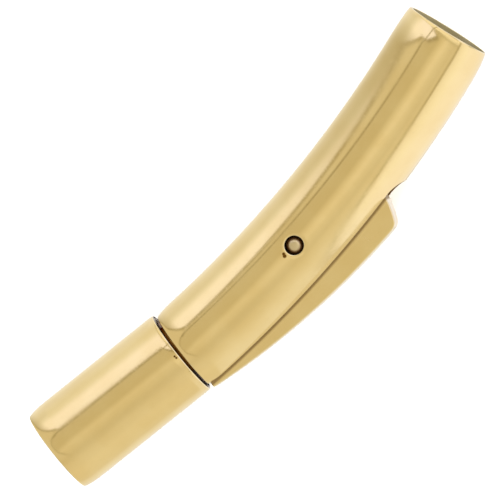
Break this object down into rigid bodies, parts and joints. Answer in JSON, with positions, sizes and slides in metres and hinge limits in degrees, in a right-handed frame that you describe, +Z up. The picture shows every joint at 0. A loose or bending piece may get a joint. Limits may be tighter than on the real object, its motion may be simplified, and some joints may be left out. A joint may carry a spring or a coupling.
{
  "type": "cord clasp",
  "caption": "Curved tube clasp for a 5 mm round cord, with a straight end cap held by a notched tongue and a press lever on a cross pin.",
  "frame": {"origin": "middle of the bottom of the clasp's box, as it lies on its side", "axes": "+X from the end cap to the tube's open mouth along the chord of the bend, +Y to the inside of the bend, +Z up along the pivot pin; the lever is on the -Y side"},
  "size_m": [0.0388, 0.0094, 0.0062],
  "materials": {
    "tube_gold": "polished gold plating on stainless steel",
    "cap_gold": "polished gold plating on stainless steel",
    "lever_gold": "polished gold plating on stainless steel, flat sides fine-brushed",
    "pin_gold": "gold plating, ends lightly domed by the bevel",
    "tongue_gold": "gold plating, machined",
    "spring_steel": "spring steel"
  },
  "bodies": {
    "clasp": {"tube": "tube_gold", "end_cap": "cap_gold", "tongue": "tongue_gold", "pivot_pin": "pin_gold", "return_spring": "spring_steel"},
    "lever": {"lever": "lever_gold"}
  },
  "joints": [
    {"name": "lever_press", "type": "hinge", "parent": "clasp", "child": "lever", "pos_m": [0.00185, -0.00069, 0.00308], "axis": [0, 0, 1], "range_deg": [0, 8], "stiffness_Nm_per_rad": 0.002, "springref_deg": -2.86, "deforming": ["return_spring"]}
  ]
}
